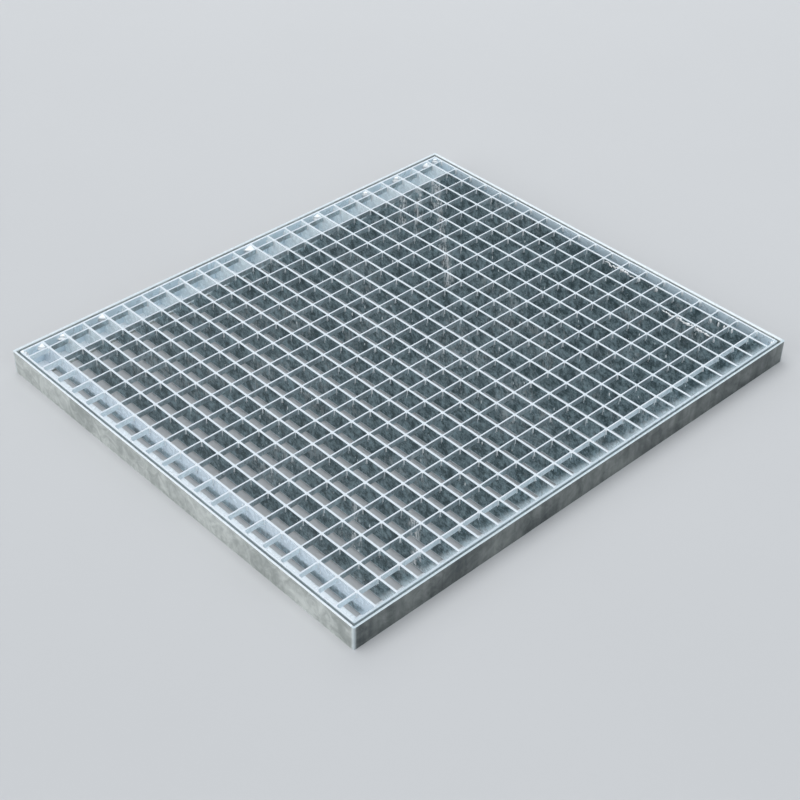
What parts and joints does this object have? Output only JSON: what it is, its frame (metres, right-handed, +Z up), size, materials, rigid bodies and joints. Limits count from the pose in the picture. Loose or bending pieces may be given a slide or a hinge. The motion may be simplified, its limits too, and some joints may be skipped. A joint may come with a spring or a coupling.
{
  "type": "steel grating panel",
  "caption": "Flat pressed steel grating of deep bearing bars and shallower cross bars, closed by edge bands and lying loose in a mitred frame of steel angle.",
  "frame": {"origin": "middle of the frame's underside, on the ground", "axes": "+X along the long side and the cross bars, +Y along the short side and the bearing bars, +Z up through the walking surface"},
  "size_m": [0.804, 0.7, 0.035],
  "materials": {
    "galvanised_angle": "hot-dip galvanised, matte grey with soft runs and spangle",
    "galvanised_band": "hot-dip galvanised, bright",
    "galvanised_bars": "hot-dip galvanised, bright blue-grey with spangle, zinc gathered at the crossings"
  },
  "bodies": {
    "root": {"angle_front": "galvanised_angle", "angle_right": "galvanised_angle", "angle_back": "galvanised_angle", "angle_left": "galvanised_angle", "band_front": "galvanised_band", "band_right": "galvanised_band", "band_back": "galvanised_band", "band_left": "galvanised_band", "bars_left": "galvanised_bars", "bars_mid_left": "galvanised_bars", "bars_mid_right": "galvanised_bars", "bars_right": "galvanised_bars"}
  },
  "joints": []
}
